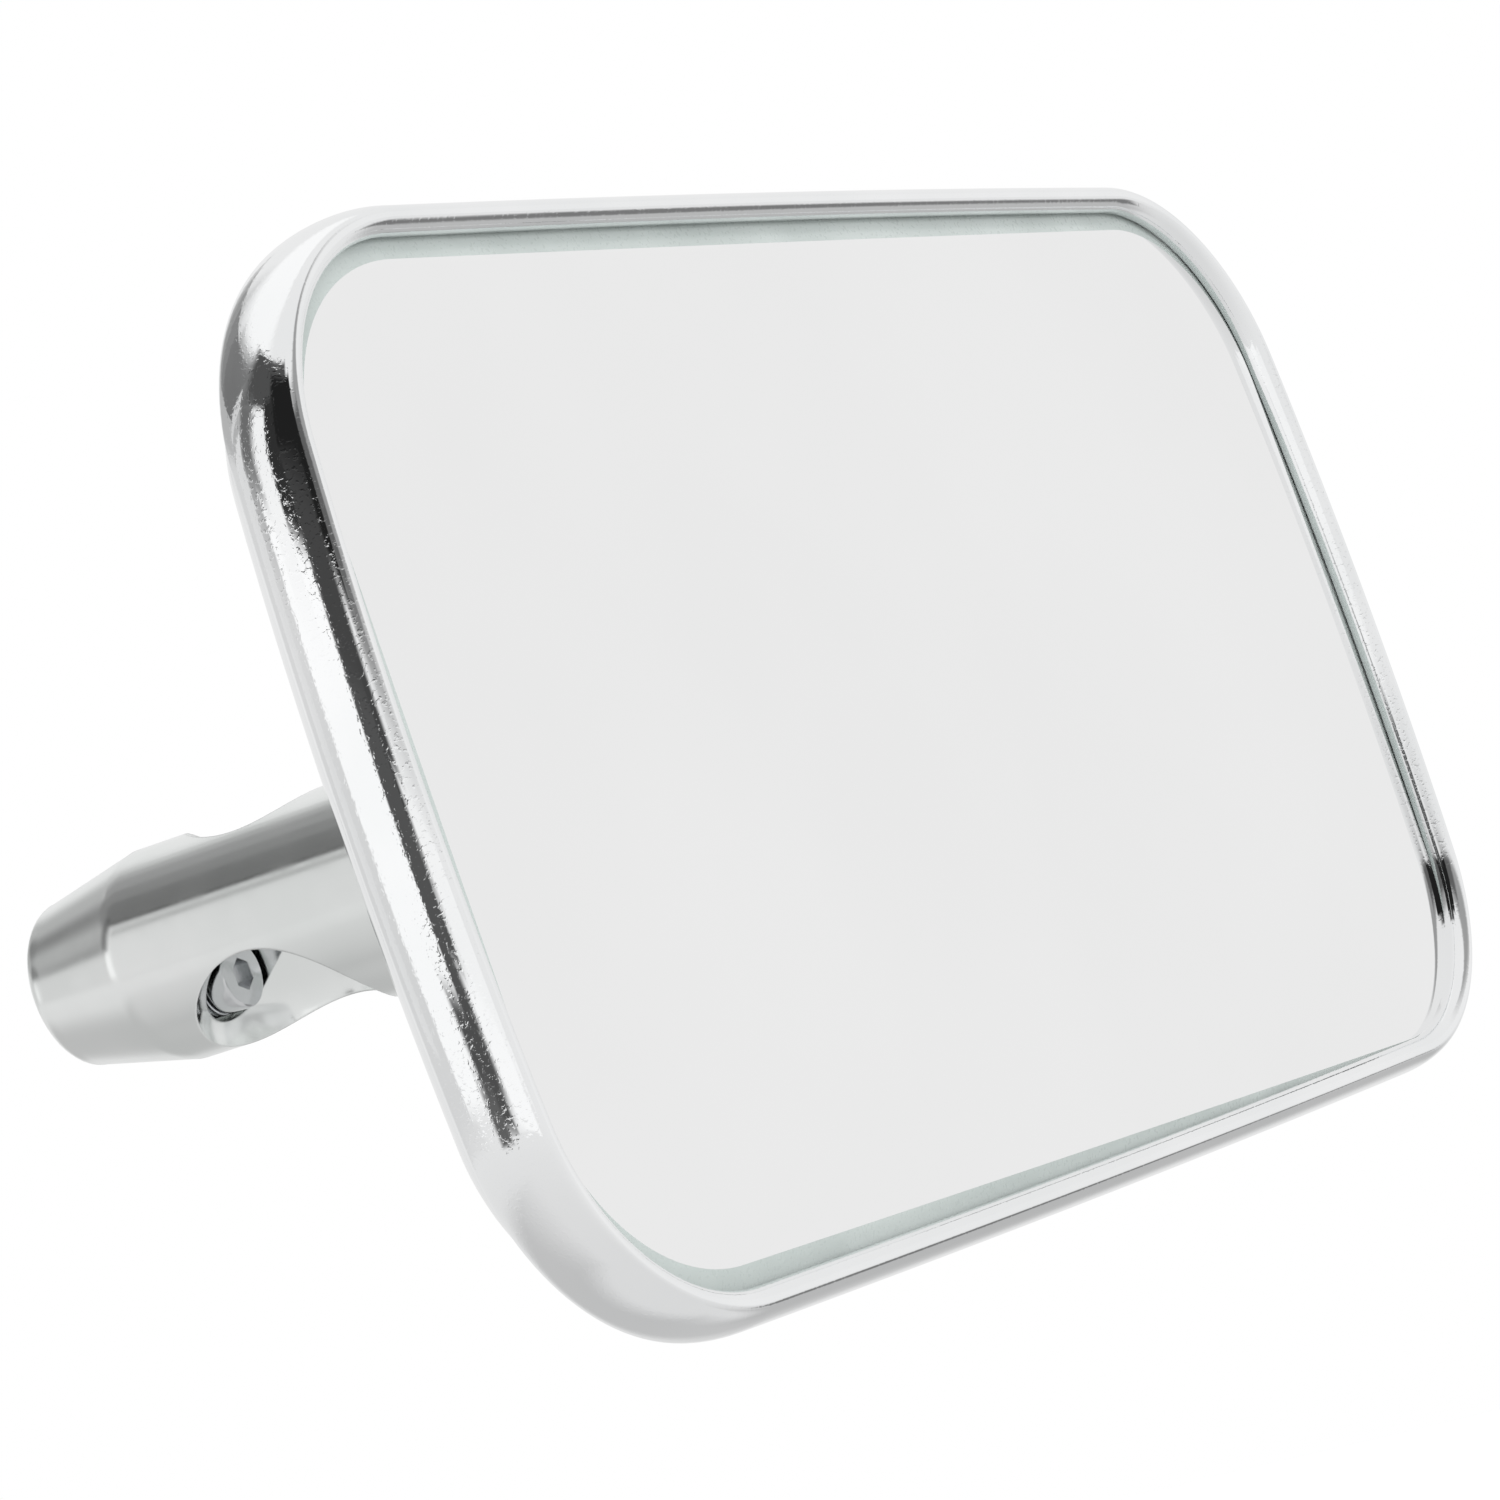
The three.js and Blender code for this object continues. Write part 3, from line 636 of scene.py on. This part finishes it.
def make_camera():
    data = bpy.data.cameras.new("camera")
    data.lens = CAMERA_LENS
    data.sensor_width = SENSOR_WIDTH
    data.clip_start = 0.01
    camera = bpy.data.objects.new("camera", data)
    aim = Vector(CAMERA_TARGET) - Vector(CAMERA_PLACE)
    facing = aim.to_track_quat("-Z", "Y").to_matrix().to_4x4()
    roll = Matrix.Rotation(math.radians(CAMERA_ROLL), 4, "Z")
    camera.matrix_world = Matrix.Translation(CAMERA_PLACE) @ facing @ roll
    bpy.context.scene.collection.objects.link(camera)
    bpy.context.scene.camera = camera


def make_floor():
    bm = bmesh.new()
    bmesh.ops.create_grid(bm, x_segments=1, y_segments=1, size=FLOOR_REACH)
    mesh = bpy.data.meshes.new("floor")
    bm.to_mesh(mesh)
    bm.free()
    floor = bpy.data.objects.new("floor", mesh)
    floor.location.z = FLOOR_Z
    bpy.context.scene.collection.objects.link(floor)
    nodes = Nodes("pale_floor")
    nodes.link(nodes.ramp(nodes.noise(3.0), 0.86, 0.9), nodes.shader.inputs["Base Color"])
    nodes.set(Roughness=0.8)
    paint(floor, nodes.material)
    floor.visible_glossy = False


# Plain cards near the arm, in millimetres: a pale one beside it, in strips from the bottom up, and a
# dark one over it, in strips from left to right. Each strip has its own brightness.
SIDE_CARD_X = -126
SIDE_CARD_FRONT, SIDE_CARD_BACK = 0, 105
SIDE_CARDS = (  # name, low edge, high edge, brightness
    ("side_card", -28, 80, 0.76),
    ("side_card_line", 80, 97, 0.48),
    ("side_card_top", 97, 116, 0.68),
)
OVER_CARD_Z = 150
OVER_CARD_FRONT, OVER_CARD_BACK = 18, 132
OVER_CARDS = (  # name, left edge, right edge, brightness
    ("over_card_left", -142, -60, 0.2),
    ("over_card_middle", -60, -22, 0.25),
    ("over_card_right", -22, 13, 0.33),
    ("over_card_edge", 13, 35, 0.42),
    ("over_card_fade", 35, 58, 0.6),
)


def make_card(name, corners, light):
    """One strip of a card. Only reflections show it."""
    bm = bmesh.new()
    bm.faces.new([bm.verts.new(corner) for corner in corners])
    card = finish_mesh(name, bm, Matrix.Identity(4))
    nodes = Nodes(name)
    nodes.set(Base_Color=(0, 0, 0, 1), Roughness=1.0, Specular_IOR_Level=0.0, Emission_Color=(1, 1, 1, 1))
    shade = nodes.ramp(nodes.noise(6.0), light - 0.02, light + 0.02)
    nodes.link(shade, nodes.shader.inputs["Emission Strength"])
    paint(card, nodes.material)
    card.visible_camera = False
    card.visible_diffuse = False
    card.visible_shadow = False


def make_cards():
    x, front, back = SIDE_CARD_X, SIDE_CARD_FRONT, SIDE_CARD_BACK
    for name, low, high, light in SIDE_CARDS:
        make_card(name, ((x, front, low), (x, back, low), (x, back, high), (x, front, high)), light)
    z, front, back = OVER_CARD_Z, OVER_CARD_FRONT, OVER_CARD_BACK
    for name, left, right, light in OVER_CARDS:
        make_card(name, ((left, front, z), (right, front, z), (right, back, z), (left, back, z)), light)


# The studio as the chrome sees it: panels of light and dark all round, each with its bearing and
# height in degrees, half its width and height, how soft its edge is, and its brightness.
# A bearing of 0 is +Y and 90 is +X. Later panels hang in front of earlier ones.
PANELS = (
    ("ceiling", 25, 69, 75, 18, 0.15, 1.0),
    ("rear_wall", -6, 29, 36, 16, 0.35, 0.48),
    ("rear_wall_shade", -17, 40, 18, 8, 0.5, 0.24),
    ("pale_wall", -16, 4, 22, 12, 0.25, 0.7),
    ("side_wall", -165, 26, 50, 14, 0.3, 0.35),
    ("far_drape", -132, 23, 24, 9, 0.4, 0.12),
    ("drape_top", -66, 43.5, 36, 9.5, 0.15, 0.08),
    ("drape", -89, 31, 29, 16, 0.1, 0.015),
    ("drape_edge", -77, 11, 17, 8, 0.35, 0.06),
    ("gap", -71, 2, 9, 8, 0.2, 0.09),
    ("fold", -57, 25, 6, 12, 0.2, 0.03),
    ("jamb", -33, 25, 5.5, 11, 0.4, 0.16),
    ("window", -48.5, 4, 14, 10.5, 0.08, 1.02),
    ("window_top", -46.5, 22.5, 5.2, 10.5, 0.25, 0.95),
    ("strip_light", -112, 3, 27, 4.5, 0.15, 0.95),
    ("sill", -96, -4, 22, 3.5, 0.2, 1.0),
    ("shadow", -62, -5, 8, 3, 0.3, 0.08),
    ("shadow_end", -56, -8, 5, 2.5, 0.4, 0.12),
    ("floor_shade", 15, -45, 55, 16, 0.5, 0.55),
    ("low_right", 97, -33, 34, 14, 0.6, 0.5),
    ("low_corner", 126, -22, 7, 8, 0.5, 0.2),
    ("mirror_card", 131, 8, 11, 11, 0.12, 0.875),
)
# How bright the room is low down and high up, and how bright it is for surfaces that aren't glossy.
LOW_LIGHT = 0.74
HIGH_LIGHT = 0.86
SOFT_LIGHT = 1.3


class Studio:
    """The world's nodes: white to the camera, soft light on matt surfaces, panels in reflections."""

    def __init__(self):
        self.world = bpy.data.worlds.new("studio")
        self.world.use_nodes = True
        self.tree = self.world.node_tree
        self.background = self.tree.nodes["Background"]
        self.background.inputs["Color"].default_value = (1, 1, 1, 1)
        coordinates = self.tree.nodes.new("ShaderNodeTexCoord")
        axes = self.tree.nodes.new("ShaderNodeSeparateXYZ")
        self.tree.links.new(coordinates.outputs["Generated"], axes.inputs["Vector"])
        self.bearing = self.degrees(self.math("ARCTAN2", axes.outputs["X"], axes.outputs["Y"]))
        self.height = self.degrees(self.math("ARCSINE", axes.outputs["Z"]))

    def plug(self, value, socket):
        if isinstance(value, (int, float)):
            socket.default_value = value
        else:
            self.tree.links.new(value, socket)

    def math(self, operation, *values):
        node = self.tree.nodes.new("ShaderNodeMath")
        node.operation = operation
        for value, socket in zip(values, node.inputs):
            self.plug(value, socket)
        return node.outputs[0]

    def degrees(self, radians):
        return self.math("MULTIPLY", radians, 180 / math.pi)

    def fade(self, source, start, end, low, high):
        node = self.tree.nodes.new("ShaderNodeMapRange")
        node.interpolation_type = "SMOOTHSTEP"
        self.tree.links.new(source, node.inputs["Value"])
        for name, value in (("From Min", start), ("From Max", end), ("To Min", low), ("To Max", high)):
            node.inputs[name].default_value = value
        return node.outputs["Result"]

    def mix(self, share, under, over):
        node = self.tree.nodes.new("ShaderNodeMix")
        self.plug(share, node.inputs[0])
        self.plug(under, node.inputs[2])
        self.plug(over, node.inputs[3])
        return node.outputs[0]

    def hang(self, under, panel):
        """Puts one panel in front of what hangs there already."""
        _, bearing, height, half_width, half_height, softness, brightness = panel
        away = self.math("WRAP", self.math("SUBTRACT", self.bearing, bearing), 180, -180)
        across = self.math("DIVIDE", self.math("ABSOLUTE", away), half_width)
        off = self.math("ABSOLUTE", self.math("SUBTRACT", self.height, height))
        along = self.math("DIVIDE", off, half_height)
        reach = self.math("MAXIMUM", across, along)
        share = self.fade(reach, 1 - softness, 1 + softness, 1, 0)
        return self.mix(share, under, brightness)

    def light(self):
        room = self.fade(self.height, -50, 20, LOW_LIGHT, HIGH_LIGHT)
        for panel in PANELS:
            room = self.hang(room, panel)
        paths = self.tree.nodes.new("ShaderNodeLightPath")
        matt = self.mix(paths.outputs["Is Diffuse Ray"], room, SOFT_LIGHT)
        seen = self.mix(paths.outputs["Is Camera Ray"], matt, 1.0)
        self.tree.links.new(seen, self.background.inputs["Strength"])
        bpy.context.scene.world = self.world


# ---- scene --------------------------------------------------------------------------------------

def main():
    for name, material in CAD_MATERIALS.items():
        paint(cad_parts[name], material)
    make_camera()
    make_bezel()
    make_shell()
    make_glass()
    make_collar()
    make_arm()
    make_screws()
    make_stud()
    make_floor()
    make_cards()
    Studio().light()
    bpy.context.scene.view_settings.view_transform = "Standard"


main()
